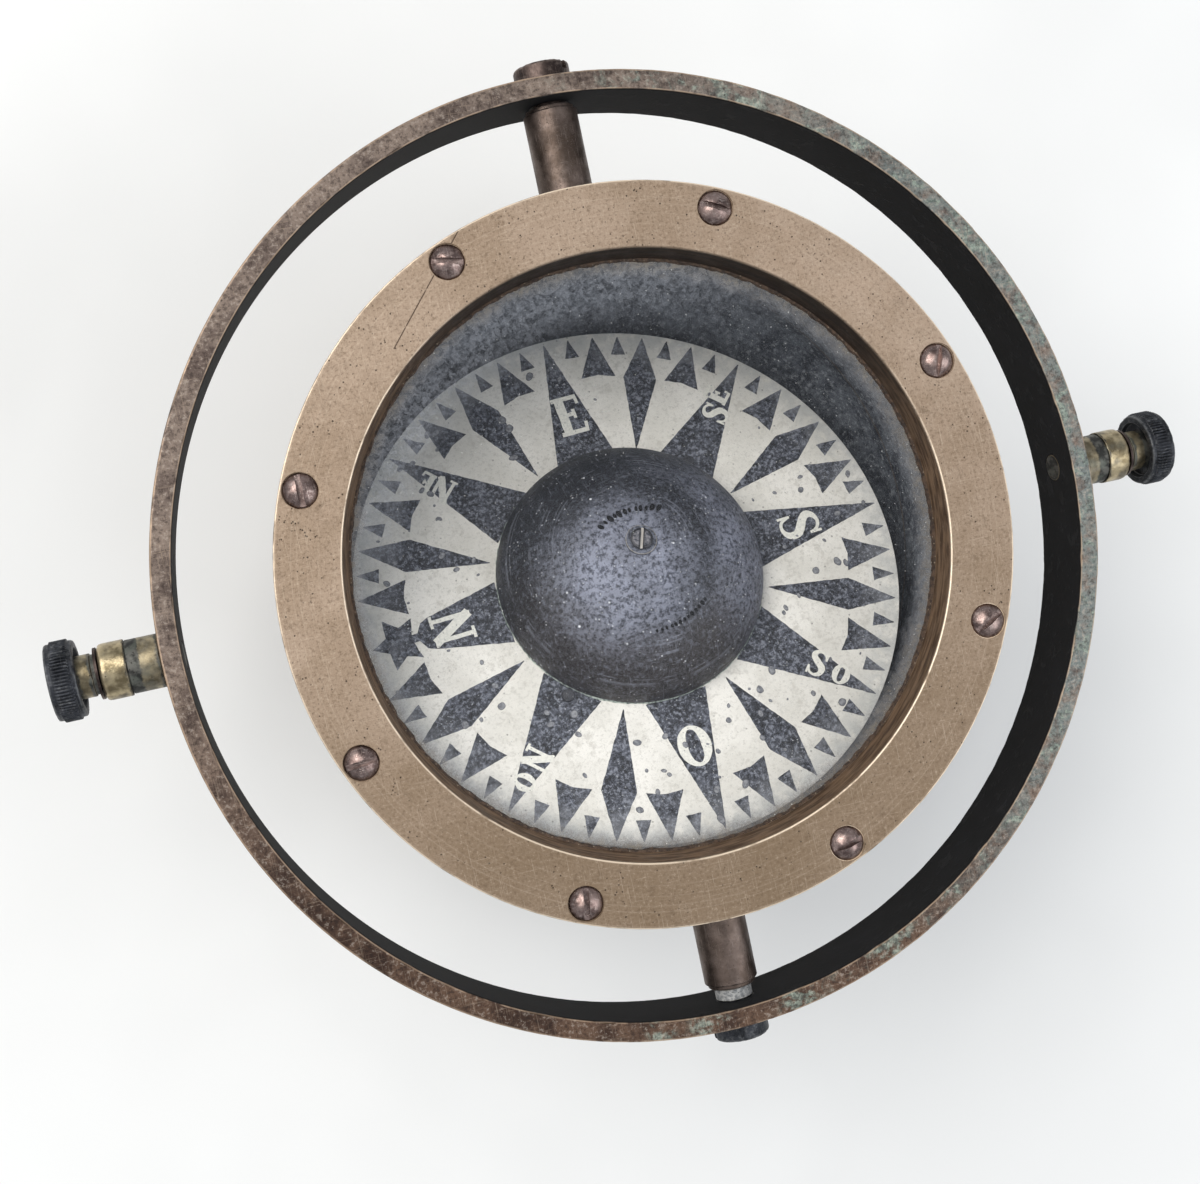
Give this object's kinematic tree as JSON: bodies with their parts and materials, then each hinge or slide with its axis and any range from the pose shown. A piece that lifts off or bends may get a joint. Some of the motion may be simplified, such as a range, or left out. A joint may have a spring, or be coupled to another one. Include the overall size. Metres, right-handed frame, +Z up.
{
  "type": "binnacle compass",
  "caption": "Marine binnacle compass: a glazed brass bowl with a floating pivoted star card, hung on inner pivots in a round gimbal ring with outer trunnions and knurled thumb screws.",
  "frame": {"origin": "gimbal centre, where the outer trunnion axis and the inner pivot axis cross", "axes": "+X along the outer trunnions, +Y along the inner pivots, +Z up along the gimbal ring's own axis, towards the glass"},
  "size_m": [0.2896, 0.2474, 0.133],
  "materials": {
    "bush_brass": "worn brass with tarnish bands",
    "ring_brass": "brown patina with verdigris",
    "pivot_brass": "dull brown brass",
    "zinc": "dull grey",
    "knob_brass": "near-black patina",
    "trunnion_brass": "dark tarnish",
    "bowl_brass": "dull brown",
    "bezel_brass": "satin, aged",
    "screw_bronze": "polished brown",
    "inner_brass": "dull",
    "cover_glass": "dusty",
    "gasket_rubber": "perished",
    "fibre_washer": "matt",
    "lubber_paint": "matt",
    "needle_steel": "hard ground",
    "jewel_glass": "polished",
    "float_paint": "satin, scratched",
    "apex_bronze": "dark",
    "card_paper": "varnished print",
    "magnet_steel": "lacquered",
    "ballast_lead": "dull grey"
  },
  "bodies": {
    "bushes": {"trunnion_bush_right": "bush_brass", "trunnion_bush_left": "bush_brass"},
    "gimbal": {"gimbal_ring": "ring_brass", "pivot_screw_back": "pivot_brass", "pivot_screw_front": "pivot_brass", "spacer_collar_front": "zinc"},
    "right_washer": {"thrust_washer_right": "trunnion_brass"},
    "right_thumb_screw": {"trunnion_screw_right": "trunnion_brass", "knurled_knob_right": "knob_brass"},
    "left_washer": {"thrust_washer_left": "trunnion_brass"},
    "left_thumb_screw": {"trunnion_screw_left": "trunnion_brass", "knurled_knob_left": "knob_brass"},
    "bowl": {"bowl_shell": "bowl_brass", "chamber_housing": "bowl_brass", "pivot_boss_back": "pivot_brass", "pivot_boss_front": "pivot_brass", "lower_gasket": "gasket_rubber", "cover_glass": "cover_glass", "upper_seal": "gasket_rubber", "bezel_ring": "bezel_brass", "bezel_screws": "screw_bronze", "lubber_line": "lubber_paint", "filler_plug": "inner_brass", "filler_washer": "fibre_washer", "pivot_pillar": "inner_brass", "pillar_nut": "inner_brass", "pivot_needle": "needle_steel", "expansion_diaphragm": "inner_brass", "diaphragm_clamp": "inner_brass", "bottom_cap": "bowl_brass", "cap_screws": "screw_bronze", "ballast_weight": "ballast_lead", "ballast_screw": "screw_bronze"},
    "jewel_mount": {"jewel_cup": "inner_brass", "jewel": "jewel_glass"},
    "card": {"float_dome": "float_paint", "float_base": "float_paint", "spindle_socket": "inner_brass", "apex_washer": "apex_bronze", "apex_screw": "apex_bronze", "compass_card": "card_paper", "card_rivets": "apex_bronze", "magnet_cradle": "inner_brass", "magnet_bar_east": "magnet_steel", "magnet_bar_west": "magnet_steel"}
  },
  "joints": [
    {"name": "ring_swing", "type": "hinge", "parent": "bushes", "child": "gimbal", "pos_m": [0, 0, 0], "axis": [1, 0, 0], "range_deg": [-40, 40]},
    {"name": "bowl_swing", "type": "hinge", "parent": "gimbal", "child": "bowl", "pos_m": [0, 0, 0], "axis": [0, 1, 0], "range_deg": [-35.5, 44.5]},
    {"name": "card_tilt", "type": "hinge", "parent": "bowl", "child": "jewel_mount", "pos_m": [0.00088, 0, -0.01115], "axis": [-0.9846, 0.1564, -0.0775], "range_deg": [-43, 0]},
    {"name": "card_spin", "type": "hinge", "parent": "jewel_mount", "child": "card", "pos_m": [0.00088, 0, -0.01115], "axis": [-0.0158, 0.362, 0.932], "continuous": true},
    {"name": "right_screw_advance", "type": "slide", "parent": "gimbal", "child": "right_washer", "axis": [1, 0, 0], "range_m": [0, 0.001]},
    {"name": "right_screw_turn", "type": "hinge", "parent": "right_washer", "child": "right_thumb_screw", "pos_m": [0, 0, 0], "axis": [1, 0, 0], "range_deg": [0, 360]},
    {"name": "left_screw_advance", "type": "slide", "parent": "gimbal", "child": "left_washer", "axis": [-1, 0, 0], "range_m": [0, 0.001]},
    {"name": "left_screw_turn", "type": "hinge", "parent": "left_washer", "child": "left_thumb_screw", "pos_m": [0, 0, 0], "axis": [-1, 0, 0], "range_deg": [0, 360]}
  ],
  "couplings": [
    {"joint": "right_screw_turn", "follows": "right_screw_advance", "rad_per_m": 6283.2},
    {"joint": "left_screw_turn", "follows": "left_screw_advance", "rad_per_m": 6283.2}
  ]
}
